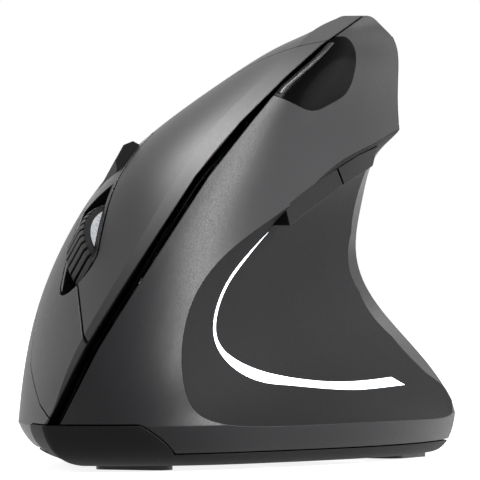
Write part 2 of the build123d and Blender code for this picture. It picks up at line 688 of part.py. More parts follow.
def make_bottom_case(body):
    """Floor with the battery bay, the receiver slot, the openings and the screw holes."""
    case = body & floor_profile()
    bay = centred_box(BAY_X, BAY_Y, BAY_WIDTH + 2 * BAY_WALL, BAY_LENGTH + 2 * BAY_WALL, FLOOR_TOP - BAY_WALL,
                      BAY_TOP + BAY_WALL)
    slot_width = RECEIVER_WIDTH + 2 * RECEIVER_GAP
    slot_length = RECEIVER_LENGTH + 2 * RECEIVER_GAP
    slot_top = RECEIVER_BOTTOM + RECEIVER_THICK + RECEIVER_GAP
    nest = centred_box(RECEIVER_X, RECEIVER_Y, slot_width + 2 * RECEIVER_WALL, slot_length + 2 * RECEIVER_WALL,
                       FLOOR_TOP - RECEIVER_WALL, slot_top + RECEIVER_WALL)
    case = case + bay + nest
    for x, y in MAIN_PEGS:
        case = case + Pos(x, y, (FLOOR_TOP - SEAM + MAIN_Z) / 2) * Cylinder(PEG_RADIUS, MAIN_Z - FLOOR_TOP + SEAM)
    for x, y in SCREW_PLACES:
        case = case - Pos(x, y, 0) * Cylinder(SCREW_RADIUS + SEAM, OVERRUN)
        case = case - Pos(x, y, FOOT_HEIGHT) * Cylinder(SCREW_HEAD_RADIUS + SEAM, 2 * SCREW_RECESS)
    case = case - centred_box(BAY_X, BAY_Y, BAY_WIDTH, BAY_LENGTH, -OVERRUN, BAY_TOP)
    case = case - centred_box(RECEIVER_X, RECEIVER_Y, slot_width, slot_length, -OVERRUN, slot_top)
    case = case - Pos(SENSOR_X, SENSOR_Y, 0) * Cylinder(APERTURE_RADIUS, OVERRUN)
    knob_path = POWER_KNOB + POWER_TRAVEL + 2 * POWER_GAP
    slot_y = POWER_Y + POWER_TRAVEL / 2
    return case - centred_box(POWER_X, slot_y, POWER_WIDTH + 2 * POWER_GAP, knob_path, -OVERRUN, FLOOR_TOP + SEAM)


def make_sensor_lens():
    """Clear block over the opening in the floor, with a round window in it."""
    half_w, half_l = LENS_WIDTH / 2, LENS_LENGTH / 2
    block = centred_box(SENSOR_X, SENSOR_Y, 2 * half_w, 2 * half_l, FLOOR_TOP, MAIN_Z)
    stub = Pos(SENSOR_X, SENSOR_Y, (LENS_BOTTOM + FLOOR_TOP) / 2) * Cylinder(APERTURE_RADIUS - SEAM,
                                                                          FLOOR_TOP - LENS_BOTTOM)
    return block + stub


def make_power_slider():
    """Sliding knob in the floor with a flange above it."""
    knob = centred_box(POWER_X, POWER_Y, POWER_WIDTH, POWER_KNOB, POWER_BOTTOM, FLOOR_TOP + POWER_RIM)
    flange_width = POWER_WIDTH + 2 * POWER_FLANGE
    flange_length = POWER_KNOB + 2 * POWER_FLANGE
    low = FLOOR_TOP + POWER_GAP / 2
    return knob + centred_box(POWER_X, POWER_Y, flange_width, flange_length, low, FLOOR_TOP + POWER_RIM)


def make_cell(x, flip):
    """One cylindrical cell with its raised terminal."""
    can = Cylinder(CELL_RADIUS, CELL_LENGTH)
    nub_place = Pos(0, 0, (CELL_LENGTH + CELL_NUB_LENGTH) / 2)
    cell = can + nub_place * Cylinder(CELL_NUB_RADIUS, CELL_NUB_LENGTH)
    turn = Rot(90, 0, 0) if flip else Rot(-90, 0, 0)
    return Pos(x, BAY_Y, CELL_Z) * turn * Pos(0, 0, -CELL_NUB_LENGTH / 2) * cell


def make_contacts():
    """Contact plates at both ends of the bay."""
    ends = []
    for side in (-1, 1):
        y = BAY_Y + side * (BAY_LENGTH / 2 - PLATE_THICK / 2)
        for cell_side in (-1, 1):
            x = BAY_X + cell_side * CELL_PITCH / 2
            ends.append(Pos(x, y, CELL_Z) * Box(CELL_RADIUS * 1.6, PLATE_THICK, CELL_RADIUS * 1.6))
    return ends


def make_door():
    """Battery door, flush in the floor, with grip ribs."""
    width, length = BAY_WIDTH - 2 * DOOR_GAP, BAY_LENGTH - 2 * DOOR_GAP
    door = centred_box(BAY_X, BAY_Y, width, length, DOOR_BOTTOM, DOOR_BOTTOM + DOOR_THICK)
    pitch = 2 * DOOR_RIB_WIDTH
    for index in range(DOOR_RIBS):
        y = BAY_Y + length / 2 - (index + 2) * pitch
        door = door - centred_box(BAY_X, y, width / 2, DOOR_RIB_WIDTH, 0, DOOR_BOTTOM + DOOR_RIB_DEPTH)
    return door


def make_receiver():
    """Small plug with a moulded cap."""
    cap_y = RECEIVER_Y - RECEIVER_LENGTH / 2 + RECEIVER_CAP / 2
    top = RECEIVER_BOTTOM + RECEIVER_THICK
    cap = centred_box(RECEIVER_X, cap_y, RECEIVER_WIDTH, RECEIVER_CAP, RECEIVER_BOTTOM, top)
    shell_y = RECEIVER_Y + RECEIVER_CAP / 2
    shell = centred_box(RECEIVER_X, shell_y, RECEIVER_WIDTH - 2 * RECEIVER_GAP, RECEIVER_LENGTH - RECEIVER_CAP,
                        RECEIVER_BOTTOM, top - RECEIVER_GAP)
    return cap, shell


def make_screw(x, y):
    """Pan-head screw from below."""
    top = FOOT_HEIGHT + SCREW_RECESS
    head = Pos(x, y, top - SCREW_HEAD_HEIGHT / 2) * Cylinder(SCREW_HEAD_RADIUS, SCREW_HEAD_HEIGHT)
    return head + Pos(x, y, top + SCREW_LENGTH / 2) * Cylinder(SCREW_RADIUS, SCREW_LENGTH)


def write(node, solids):
    """Writes one node, a solid or a group of solids."""
    if isinstance(solids, list):
        solids = Compound(children=[piece for item in solids for piece in item.solids()])
    export_step(Pos(*FOOTPRINT_SHIFT) * solids, f"parts/{node}.step")


os.makedirs("parts", exist_ok=True)
body = outer_body()
upper = body - floor_profile(SEAM) - core_solid()
finger_side = upper & seam_solid([0] * len(BODY_SHARES))
thumb_shell = upper - seam_solid(RIDGE_GAPS)

# Finger side split into its plates
left_points = [GROOVE_TIP, GROOVE_FOOT, (GROOVE_FOOT[0], 0), LEFT_BACK_LOW, LEFT_BACK_HIGH, LEFT_BACK_TOP, LEFT_REACH]
right_points = [GROOVE_TIP, GROOVE_FOOT, (GROOVE_FOOT[0], 0), LEFT_BACK_LOW, RIGHT_BACK, RIGHT_LOW, RIGHT_LOW_FRONT,
                RIGHT_NOSE_LOW, RIGHT_NOSE_TIP, RIGHT_REACH, LEFT_REACH]
left_prism = finger_outline(left_points)
right_prism = finger_outline(right_points)
strip_gap = strip_prism(BUTTON_GAP)
palm_shell = finger_side - left_prism - right_prism - strip_gap


def largest(shape):
    """The biggest solid of a cut, when a boolean leaves crumbs."""
    return sorted(shape.solids(), key=lambda item: item.volume)[-1]


def shrink_towards(points, distance):
    """Outline moved in on all sides, so a gap opens along its edges."""
    face = Face(Wire(Polyline(*[(x, y, 0) for x, y in points], close=True)))
    ring = offset(face, -distance, kind=Kind.INTERSECTION)
    low = Pos(0, 0, -FINGER_INSIDE) * ring
    return FINGER.location * extrude(low, FINGER_INSIDE + FINGER_OUTSIDE, dir=Vector(0, 0, 1))


left_plate = (finger_side & shrink_towards(left_points, BUTTON_GAP / 2)) - strip_gap
arm_reach = ARM_INNER + ARM_THICK + RELIEF
left_plate = left_plate - finger_box(0, ARM_FRONT + RELIEF, -arm_reach, arm_reach, -OVERRUN, ARM_TOP + RELIEF)
switch_end = SWITCH_LENGTH / 2 + RELIEF
switch_side = SWITCH_Y + SWITCH_WIDTH / 2 + RELIEF
switch_top = BOARD_TOP + SWITCH_HEIGHT
left_plate = left_plate - finger_box(SWITCH_X - switch_end, SWITCH_X + switch_end, 0, switch_side, -OVERRUN,
                                     switch_top + SWITCH_RELIEF)
left_button = largest(left_plate) + button_post(LEFT_POST)
right_plate = (finger_side & shrink_towards(right_points, BUTTON_GAP / 2)) - strip_gap
right_button = largest(right_plate) + button_post(RIGHT_POST)
palm_shell = largest(palm_shell)
wheel_slot = finger_box(-SLOT_LENGTH / 2, SLOT_LENGTH / 2, -SLOT_WIDTH / 2, SLOT_WIDTH / 2, -OVERRUN, OVERRUN)
rocker_half = ROCKER_LENGTH / 2 + ROCKER_GAP
rocker_wide = ROCKER_WIDTH / 2 + ROCKER_GAP
rocker_slot = finger_box(ROCKER_X - rocker_half, ROCKER_X + rocker_half, -rocker_wide, rocker_wide, -OVERRUN, OVERRUN)
wheel_bezel = largest((finger_side & strip_prism()) - wheel_slot - rocker_slot)

# Thumb side split into its pieces
thumb_shell = largest(thumb_shell)
inner_skin = Pos(-WINDOW_DEPTH, 0, 0) * body
window_zone = side_prism(window_face()) - inner_skin
window_panel = largest(thumb_shell & window_zone)
thumb_shell = thumb_shell - window_zone
glow_zone = side_prism(glow_face()) & scoop_solid(GLOW_DEPTH)
light_guide = largest(thumb_shell & glow_zone)
thumb_shell = thumb_shell - glow_zone
key_skin = Pos(-KEY_SINK, 0, 0) * (skin_solid(BODY_SHARES))
key_room = scoop_solid(WALL)
keys = []
for shares in (FRONT_KEY_SHARES, BACK_KEY_SHARES):
    face = smooth_face(shares)
    keys.append(largest(side_prism(face) & key_skin & key_room))
    thumb_shell = thumb_shell - side_prism(offset(face, KEY_GAP))
thumb_shell = largest(thumb_shell)
accent_spine = make_spine()

write("bottom_case", make_bottom_case(body))
write("thumb_shell", thumb_shell)
write("palm_shell", palm_shell)
write("left_button", left_button)
write("right_button", right_button)
write("wheel_bezel", wheel_bezel)
write("accent_spine", accent_spine)
write("window_panel", window_panel)
write("light_guide", light_guide)
write("forward_button", keys[0])
write("back_button", keys[1])
tyre, hub = make_wheel()
write("scroll_tyre", tyre)
write("scroll_hub", hub)
write("wheel_carrier", make_carrier())
write("wheel_encoder", make_encoder())
write("inner_frame", make_inner_frame())
write("button_board", make_button_board())
left_switch, left_plunger = make_switch(SWITCH_X, SWITCH_Y)
write("left_switch", left_switch)
write("left_plunger", left_plunger)
right_switch, right_plunger = make_switch(SWITCH_X, -SWITCH_Y)
write("right_switch", right_switch)
write("right_plunger", right_plunger)
wheel_switch, wheel_plunger = make_tact(CLICK_X, 0)
write("wheel_switch", wheel_switch)
write("wheel_plunger", wheel_plunger)
dpi_switch, dpi_plunger = make_tact(ROCKER_X, 0)
write("dpi_switch", dpi_switch)
write("dpi_plunger", dpi_plunger)
write("dpi_button", make_rocker())
write("main_board", centred_box(SENSOR_X, (MAIN_FRONT + MAIN_BACK) / 2, 2 * MAIN_HALF, MAIN_BACK - MAIN_FRONT,
                                MAIN_Z, MAIN_Z + MAIN_THICK))
write("sensor_chip", centred_box(SENSOR_X, SENSOR_Y, CHIP_WIDTH, CHIP_LENGTH, MAIN_Z + MAIN_THICK,
                                 MAIN_Z + MAIN_THICK + CHIP_HEIGHT))
write("sensor_lens", make_sensor_lens())
write("power_slider", make_power_slider())
write("power_switch", centred_box(POWER_X, POWER_Y + POWER_TRAVEL / 2, POWER_WIDTH, POWER_KNOB + POWER_TRAVEL,
                                  FLOOR_TOP + POWER_RIM + SEAM, MAIN_Z))
write("battery_door", make_door())
write("front_cell", make_cell(BAY_X - CELL_PITCH / 2, False))
write("back_cell", make_cell(BAY_X + CELL_PITCH / 2, True))
write("battery_contacts", make_contacts())
cap, plug = make_receiver()
write("receiver_cap", cap)
write("receiver_plug", plug)
write("case_screws", [make_screw(x, y) for x, y in SCREW_PLACES])
feet = []
for x, y, width, length in FEET:
    feet.append(Pos(x, y, 0) * extrude(RectangleRounded(width, length, FOOT_ROUND), FOOT_HEIGHT))
write("front_foot", feet[0])
write("rear_feet", feet[1:])
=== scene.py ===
import math

import bmesh
import bpy
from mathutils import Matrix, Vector
from mathutils.bvhtree import BVHTree


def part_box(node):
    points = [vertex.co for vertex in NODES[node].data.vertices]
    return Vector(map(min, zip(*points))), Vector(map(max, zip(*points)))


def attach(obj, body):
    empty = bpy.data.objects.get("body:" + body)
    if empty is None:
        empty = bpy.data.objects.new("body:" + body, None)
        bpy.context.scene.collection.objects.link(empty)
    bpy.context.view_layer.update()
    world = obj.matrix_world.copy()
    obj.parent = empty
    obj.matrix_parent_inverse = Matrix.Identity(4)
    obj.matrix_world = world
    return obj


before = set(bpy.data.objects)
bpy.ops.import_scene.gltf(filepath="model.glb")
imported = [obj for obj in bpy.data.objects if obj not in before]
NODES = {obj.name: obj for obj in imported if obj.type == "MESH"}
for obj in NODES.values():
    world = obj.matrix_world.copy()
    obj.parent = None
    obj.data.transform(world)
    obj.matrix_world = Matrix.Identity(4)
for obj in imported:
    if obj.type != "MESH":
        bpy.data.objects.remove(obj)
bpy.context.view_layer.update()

bl_info = {
    "name": "Vertical Mouse Dressing",
    "version": (1, 0, 0),
    "blender": (4, 5, 0),
    "location": "3D View > Sidebar > Mouse",
    "description": "Finishes, fine trim and studio for a vertical computer mouse",
    "category": "Object",
}

MM = 0.001

# Rays that look for a surface start well outside the mouse on the thumb side
OUTSIDE = 90.0 * MM
INWARDS = Vector((-1.0, 0.0, 0.0))

# Skins are lifted by a hair, so that they don't share a plane with the solid below
SKIN_LIFT = 0.05 * MM

# Thumb rest, whose dark skin also carries painted shade: the start of the ray that finds it, the weld of its shell's
# mesh, and the bend where its skin ends
REST_START = Vector((90.0, 22.0, 30.0)) * MM
WELD = 0.005 * MM
EDGE_COSINE = math.cos(math.radians(14.0))

# Rear slope of the rocker: the way it looks, and how near to that a face has to look
REAR_WAY = Vector((0.25, 0.55, 0.8)).normalized()
REAR_COSINE = 0.88

# Bead along the window: its lower end, its distance from the top, its search step, its height and its grid
BEAD_LOW = 61.8 * MM
BEAD_TOP = 1.2 * MM
BEAD_STEP = 0.1 * MM
BEAD_RISE = 0.2 * MM
BEAD_ROWS = 30
BEAD_COLUMNS = 6

# Moulded edges look rounded by this much, and moulded colours drift over this many millimetres
SOFT_EDGE = 0.25 * MM
DRIFT = 38.0

# Floor: its size in metres, its place just under the feet, its mesh, and how bright it looks
FLOOR_RADIUS = 4.0
FLOOR_HEIGHT = -0.05 * MM
FLOOR_RINGS = 4
FLOOR_SPOKES = 72
FLOOR_GLOW = 0.88

# Air of the studio: the light that it throws, and how bright it looks
AIR_LIGHT = 0.25
AIR_SEEN = 1.0

# Camera: the point that it and the lamps look at, its sensor and lens in millimetres, its reach in metres
MIDDLE = Vector((6.01, -1.31, 37.25)) * MM
SENSOR = 36.0
LENS = 671.6
REACH = 20.0

# Lamps: name, place from the middle and size in metres, power in watts
LAMPS = [
    ("thumb_softbox", (0.84, 0.37, 0.38), (0.35, 0.40), 19.0),
    ("ridge_softbox", (-0.52, 0.36, 0.78), (0.2, 0.2), 4.4),
    ("back_softbox", (0.12, 0.86, 0.52), (0.15, 0.15), 0.9),
    ("front_fill", (-0.25, -1.10, 0.60), (0.7, 0.5), 2.4),
    ("palm_fill", (-0.95, -0.12, 0.55), (0.5, 0.5), 2.6),
]


# Helpers

def parts_of(colour):
    """sRGB hex, such as 2B2B2D, as red, green and blue from 0 to 1."""
    return tuple(int(colour[index:index + 2], 16) / 255 for index in (0, 2, 4))


def linear(colour):
    """sRGB hex as linear red, green, blue and alpha."""
    return tuple(p / 12.92 if p <= 0.04045 else ((p + 0.055) / 1.055) ** 2.4 for p in parts_of(colour)) + (1.0,)


def add(tree, kind, settings=None, inputs=None):
    """Adds a node, sets its own settings, and gives each input a number, a colour or a link."""
    made = tree.nodes.new(kind)
    for name, value in (settings or {}).items():
        setattr(made, name, value)
    for name, value in (inputs or {}).items():
        socket = made.inputs[name]
        if isinstance(value, bpy.types.NodeSocket):
            tree.links.new(value, socket)
        else:
            socket.default_value = value
    return made


def material(name):
    """An empty node material and its tree."""
    made = bpy.data.materials.new(name)
    made.use_nodes = True
    made.node_tree.nodes.clear()
    return made, made.node_tree


def per_metre(millimetres):
    """Texture scale for a pattern that repeats after this many millimetres."""
    return 1000.0 / millimetres


def dress(names, finish):
    """Gives CAD nodes their finish."""
    for name in names:
        slots = NODES[name].data.materials
        slots.clear()
        slots.append(finish)


def moulded(name, hex_main, hex_worn, roughness, grain_mm, grain_height, specular):
    """Moulded plastic: a base colour with a faint drift over centimetres, and the tool's fine grain as bump."""
    finish, tree = material(name)
    place = add(tree, "ShaderNodeTexCoord")
    drift = add(tree, "ShaderNodeTexNoise", None,
                {"Vector": place.outputs["Object"], "Scale": per_metre(DRIFT), "Detail": 2.0, "Roughness": 0.5})
    blend = add(tree, "ShaderNodeValToRGB", None, {"Fac": drift.outputs["Fac"]})
    blend.color_ramp.elements[0].color = linear(hex_main)
    blend.color_ramp.elements[0].position = 0.42
    blend.color_ramp.elements[1].color = linear(hex_worn)
    blend.color_ramp.elements[1].position = 0.85
    # A moulding tool's grain is finer than this: it is drawn coarser, so that it shows in the render
    grain = add(tree, "ShaderNodeTexNoise", None,
                {"Vector": place.outputs["Object"], "Scale": per_metre(grain_mm), "Detail": 3.0, "Roughness": 0.6})
    rough = add(tree, "ShaderNodeMapRange", None,
                {"Value": grain.outputs["Fac"], "From Min": 0.3, "From Max": 0.7, "To Min": roughness - 0.04,
                 "To Max": roughness + 0.05})
    soft = add(tree, "ShaderNodeBevel", {"samples": 4}, {"Radius": SOFT_EDGE})
    bump = add(tree, "ShaderNodeBump", None,
               {"Height": grain.outputs["Fac"], "Strength": 0.35, "Distance": grain_height * MM,
                "Normal": soft.outputs["Normal"]})
    shader = add(tree, "ShaderNodeBsdfPrincipled", None,
                 {"Base Color": blend.outputs["Color"], "Roughness": rough.outputs["Result"], "IOR": 1.53,
                  "Specular IOR Level": specular, "Normal": bump.outputs["Normal"]})
    add(tree, "ShaderNodeOutputMaterial", None, {"Surface": shader.outputs["BSDF"]})
    return finish


def metal(name, hex_main, hex_dull, roughness, mark_mm, stretch):
    """Bare or plated metal with fine marks drawn out along one axis."""
    finish, tree = material(name)
    place = add(tree, "ShaderNodeTexCoord")
    drawn = add(tree, "ShaderNodeMapping", None, {"Vector": place.outputs["Object"], "Scale": (stretch, 1.0, 1.0)})
    # The marks of cutting and plating are finer than this: they are drawn coarser, so that they show
    marks = add(tree, "ShaderNodeTexNoise", None,
                {"Vector": drawn.outputs["Vector"], "Scale": per_metre(mark_mm), "Detail": 4.0, "Roughness": 0.6})
    blend = add(tree, "ShaderNodeValToRGB", None, {"Fac": marks.outputs["Fac"]})
    blend.color_ramp.elements[0].color = linear(hex_dull)
    blend.color_ramp.elements[0].position = 0.3
    blend.color_ramp.elements[1].color = linear(hex_main)
    blend.color_ramp.elements[1].position = 0.6
    rough = add(tree, "ShaderNodeMapRange", None,
                {"Value": marks.outputs["Fac"], "To Min": roughness - 0.05, "To Max": roughness + 0.08})
    bump = add(tree, "ShaderNodeBump", None,
               {"Height": marks.outputs["Fac"], "Strength": 0.15, "Distance": 0.02 * MM})
    shader = add(tree, "ShaderNodeBsdfPrincipled", None,
                 {"Base Color": blend.outputs["Color"], "Metallic": 1.0, "Roughness": rough.outputs["Result"],
                  "Normal": bump.outputs["Normal"]})
    add(tree, "ShaderNodeOutputMaterial", None, {"Surface": shader.outputs["BSDF"]})
    return finish


def hexed(colour):
    """A picked sRGB colour as hex, so every finish takes its colour the same way."""
    return "".join(f"{round(min(max(part, 0.0), 1.0) * 255):02X}" for part in colour[:3])


def colour_property(name, description, colour):
    """A colour that a user can pick, with its default as hex."""
    return bpy.props.FloatVectorProperty(name=name, description=description, size=3, min=0.0, max=1.0,
                                         subtype="COLOR_GAMMA", default=parts_of(colour))


def surface_of(name):
    """A tree to look up the skin of a CAD node."""
    mesh = bmesh.new()
    mesh.from_mesh(NODES[name].data)
    tree = BVHTree.FromBMesh(mesh)
    mesh.free()
    return tree


def piece_from(name, vertices, faces, finish, body, smooth=True):
    """A new mesh piece with its finish, riding on a body."""
    mesh = bpy.data.meshes.new(name)
    mesh.from_pydata([tuple(v) for v in vertices], [], faces)
    mesh.update()
    if smooth:
        for face in mesh.polygons:
            face.use_smooth = True
    made = bpy.data.objects.new(name, mesh)
    bpy.context.scene.collection.objects.link(made)
    mesh.materials.append(finish)
    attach(made, body)
    return made


def scoop_faces():
    """The faces of the thumb shell inside the crisp edge of the thumb rest, as vertices and faces."""
    mesh = bmesh.new()
    mesh.from_mesh(NODES["thumb_shell"].data)
    bmesh.ops.remove_doubles(mesh, verts=mesh.verts, dist=WELD)
    mesh.normal_update()
    mesh.faces.ensure_lookup_table()
    tree = BVHTree.FromBMesh(mesh)
    _, _, seed, _ = tree.ray_cast(REST_START, INWARDS)
    if seed is None:
        mesh.free()
        raise RuntimeError("the thumb rest was not found on the thumb shell")
    found, front = {seed}, [mesh.faces[seed]]
    while front:
        face = front.pop()
        for edge in face.edges:
            for other in edge.link_faces:
                if other.index not in found and other.normal.dot(face.normal) > EDGE_COSINE:
                    found.add(other.index)
                    front.append(other)
    # The skin stays within the width of the shell that it lies on
    widest = max(vertex.co.x for vertex in mesh.verts)
    order, vertices, faces = {}, [], []
    for index in sorted(found):
        ring = []
        for vertex in mesh.faces[index].verts:
            if vertex.index not in order:
                order[vertex.index] = len(vertices)
                near = [f.normal for f in vertex.link_faces if f.index in found]
                spot = vertex.co + sum(near, Vector()).normalized() * SKIN_LIFT
                spot.x = min(spot.x, widest)
                vertices.append(spot)
            ring.append(order[vertex.index])
        faces.append(ring)
    mesh.free()
    return vertices, faces


def rear_faces(name):
    """The faces of a node that look up and back, raised by a hair, as vertices and faces."""
    mesh = NODES[name].data
    order, vertices, faces = {}, [], []
    for face in mesh.polygons:
        if face.normal.dot(REAR_WAY) < REAR_COSINE:
            continue
        ring = []
        for index in face.vertices:
            if index not in order:
                order[index] = len(vertices)
                vertices.append(mesh.vertices[index].co + face.normal * SKIN_LIFT)
            ring.append(order[index])
        faces.append(ring)
    return vertices, faces


def window_bead(width):
    """A low half-round bead along the straight edge of the window, as vertices and faces."""
    tree = surface_of("window_panel")
    low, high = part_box("window_panel")
    vertices = []
    for row in range(BEAD_ROWS):
        z = BEAD_LOW + (high[2] - BEAD_TOP - BEAD_LOW) * row / (BEAD_ROWS - 1)
        y = low[1]
        while y < high[1] and tree.ray_cast(Vector((OUTSIDE, y, z)), INWARDS)[0] is None:
            y += BEAD_STEP
        for column in range(BEAD_COLUMNS):
            share = column / (BEAD_COLUMNS - 1)
            spot, normal, _, _ = tree.ray_cast(Vector((OUTSIDE, y + BEAD_STEP + width * share, z)), INWARDS)
            if spot is None:
                raise RuntimeError("the window is narrower than its bead")
            vertices.append(spot + normal * (SKIN_LIFT + BEAD_RISE * math.sin(math.pi * share)))
    faces = []
    for row in range(BEAD_ROWS - 1):
        for column in range(BEAD_COLUMNS - 1):
            near, far = row * BEAD_COLUMNS + column, (row + 1) * BEAD_COLUMNS + column
            faces.append((near, near + 1, far + 1, far))
    return vertices, faces


def round_board():
    """The floor as vertices and faces: a fan in the middle and rings that widen outwards."""
    vertices = [(0.0, 0.0, 0.0)]
    for ring in range(1, FLOOR_RINGS + 1):
        reach = FLOOR_RADIUS * (ring / FLOOR_RINGS) ** 2
        for spoke in range(FLOOR_SPOKES):
            turn = math.tau * spoke / FLOOR_SPOKES
            vertices.append((reach * math.cos(turn), reach * math.sin(turn), 0.0))
    faces = [(0, 1 + spoke, 1 + (spoke + 1) % FLOOR_SPOKES) for spoke in range(FLOOR_SPOKES)]
    for ring in range(FLOOR_RINGS - 1):
        inner, outer = 1 + ring * FLOOR_SPOKES, 1 + (ring + 1) * FLOOR_SPOKES
        for spoke in range(FLOOR_SPOKES):
            after = (spoke + 1) % FLOOR_SPOKES
            faces.append((inner + spoke, outer + spoke, outer + after, inner + after))
    return vertices, faces


def seen_by_eye(tree):
    """1 on rays that show a surface to the camera, also by reflection or through a clear piece, else 0."""
    path = add(tree, "ShaderNodeLightPath")
    mirrored = add(tree, "ShaderNodeMath", {"operation": "MAXIMUM"},
                   {0: path.outputs["Is Camera Ray"], 1: path.outputs["Is Glossy Ray"]})
    seen = add(tree, "ShaderNodeMath", {"operation": "MAXIMUM"},
               {0: mirrored.outputs["Value"], 1: path.outputs["Is Transmission Ray"]})
    return seen.outputs["Value"]


def pointed(name, data, way, distance=1.0):
    """An object with this data, set off from the middle by a vector times a distance, and looking back at it."""
    made = bpy.data.objects.new(name, data)
    made.location = MIDDLE + way * distance
    made.rotation_mode = "QUATERNION"
    made.rotation_quaternion = way.to_track_quat("Z", "Y")
    bpy.context.scene.collection.objects.link(made)
    return made


# What a user would change

class MouseSizes(bpy.types.PropertyGroup):
    bead_width: bpy.props.FloatProperty(
        name="Window bead width", description="Width of the bead along the window's straight edge",
        default=1.5 * MM, min=0.2 * MM, max=2.0 * MM, unit="LENGTH", subtype="DISTANCE")
    camera_azimuth: bpy.props.FloatProperty(
        name="Camera azimuth", description="Turn of the camera round the mouse",
        default=math.radians(24.4), unit="ROTATION", subtype="ANGLE")
    camera_elevation: bpy.props.FloatProperty(
        name="Camera elevation", description="Height of the camera above the horizon",
        default=math.radians(0.6), unit="ROTATION", subtype="ANGLE")
    camera_distance: bpy.props.FloatProperty(
        name="Camera distance", description="Distance from the camera to the middle of the mouse",
        default=1.5, min=0.5, max=8.0, unit="LENGTH", subtype="DISTANCE")


class MouseColours(bpy.types.PropertyGroup):
    thumb_skin: colour_property("Thumb side", "Moulded skin of the thumb side", "1C1C1E")
    # The thumb rest's dark colour is partly the rubber's own and partly painted shade of the scoop
    thumb_pad_and_shade: colour_property("Thumb rest", "Rubber skin of the thumb rest", "121213")
    finger_skin: colour_property("Finger side", "Satin skin under the fingers", "18181A")
    base_skin: colour_property("Base", "Moulded base", "0F0F10")
    gloss: colour_property("Gloss trim", "Polished stripe and window", "030304")
    key: colour_property("Side keys", "Side keys and the small rocker", "131314")
    plating: colour_property("Wheel plating", "Plated hub of the wheel", "C9CBCE")
    tyre: colour_property("Wheel tyre", "Ribbed tyre of the wheel", "151516")
    guide: colour_property("Light guide", "Pale inlaid light guide", "E4E6EA")


# Pieces and their finishes

class MOUSE_OT_shells(bpy.types.Operator):
    """Finishes the skins of the body and the two main buttons"""
    bl_idname = "mouse.shells"
    bl_label = "Shells and buttons"

    def execute(self, context):
        colours = context.scene.mouse_colours
        # ABS, moulded against a fine spark-eroded tool: dull, even, with a soft sheen at grazing angles
        thumb = moulded("abs_spark_texture", hexed(colours.thumb_skin), "202022", 0.42, 0.35, 0.03, 0.14)
        dress(["thumb_shell"], thumb)
        # ABS with a sprayed satin lacquer: smoother and a little deeper than the bare moulding
        finger = moulded("abs_satin_lacquer", hexed(colours.finger_skin), "1C1C1E", 0.35, 0.3, 0.01, 0.1)
        dress(["palm_shell", "left_button", "right_button"], finger)
        # ABS, plain moulding with a coarser tool: the base reads a shade darker
        base = moulded("abs_coarse_texture", hexed(colours.base_skin), "131314", 0.62, 0.5, 0.04, 0.1)
        dress(["bottom_case", "battery_door"], base)
        return {"FINISHED"}


class MOUSE_OT_thumb_rest(bpy.types.Operator):
    """Lays the dull rubber skin of the thumb rest over the scoop; its dark colour is partly the rubber's own and
    partly painted shade of the scoop
    """
    bl_idname = "mouse.thumb_rest"
    bl_label = "Thumb rest skin"

    def execute(self, context):
        colours = context.scene.mouse_colours
        # TPE, over-moulded in a blasted tool: dull, almost no reflection; its colour is darker than the shell partly
        # as rubber and partly as painted shade, which stands in for the shade that falls inside the scoop
        rubber = moulded("tpe_over_moulded_with_painted_shade", hexed(colours.thumb_pad_and_shade), "161618", 0.66, 0.4, 0.04, 0.06)
        vertices, faces = scoop_faces()
        # A dark sheet over the whole scoop: rubber, and painted shade where the scoop lies in shade
        piece_from("thumb_rest_skin_with_painted_shade", vertices, faces, rubber, "case")
        return {"FINISHED"}


class MOUSE_OT_trim(bpy.types.Operator):
    """Finishes the polished stripe, the window and the bezel of the wheel"""
    bl_idname = "mouse.trim"
    bl_label = "Polished trim"

    def execute(self, context):
        colours = context.scene.mouse_colours
        # ABS from a mirror-polished tool: near-black with a clear, sharp reflection
        gloss = moulded("abs_mirror_polish", hexed(colours.gloss), "060607", 0.1, 0.9, 0.002, 0.01)
        dress(["accent_spine", "window_panel", "receiver_cap"], gloss)
        # ABS, polished but softer: the slot's frame reflects in a broader band
        bezel = moulded("abs_soft_polish", "0E0E10", "111113", 0.24, 0.7, 0.004, 0.08)
        dress(["wheel_bezel"], bezel)
        # ABS, polished by hand along the edge: a bead that catches the light
        edge = moulded("abs_polished_edge", "0A0A0B", "101012", 0.25, 0.9, 0.002, 0.2)
        vertices, faces = window_bead(context.scene.mouse_sizes.bead_width)
        piece_from("window_edge_bead", vertices, faces, edge, "case")
        return {"FINISHED"}


class MOUSE_OT_light_guide(bpy.types.Operator):
    """Finishes the pale light guide in the thumb rest"""
    bl_idname = "mouse.light_guide"
    bl_label = "Light guide"

    def execute(self, context):
        colours = context.scene.mouse_colours
        # Polycarbonate with a diffusing filler: milky, pale, a faint gloss and a little light inside
        finish, tree = material("polycarbonate_diffuser")
        place = add(tree, "ShaderNodeTexCoord")
        cloud = add(tree, "ShaderNodeTexNoise", None,
                    {"Vector": place.outputs["Object"], "Scale": per_metre(9), "Detail": 2.0})
        blend = add(tree, "ShaderNodeValToRGB", None, {"Fac": cloud.outputs["Fac"]})
        blend.color_ramp.elements[0].color = linear("D2D5DA")
        blend.color_ramp.elements[1].color = linear(hexed(colours.guide))
        shader = add(tree, "ShaderNodeBsdfPrincipled", None,
                     {"Base Color": blend.outputs["Color"], "Roughness": 0.32, "IOR": 1.58,
                      "Subsurface Weight": 0.3, "Subsurface Scale": 1.2 * MM,
                      "Emission Color": linear("EEF2F8"), "Emission Strength": 3.0})
        add(tree, "ShaderNodeOutputMaterial", None, {"Surface": shader.outputs["BSDF"]})
        dress(["light_guide"], finish)
        return {"FINISHED"}


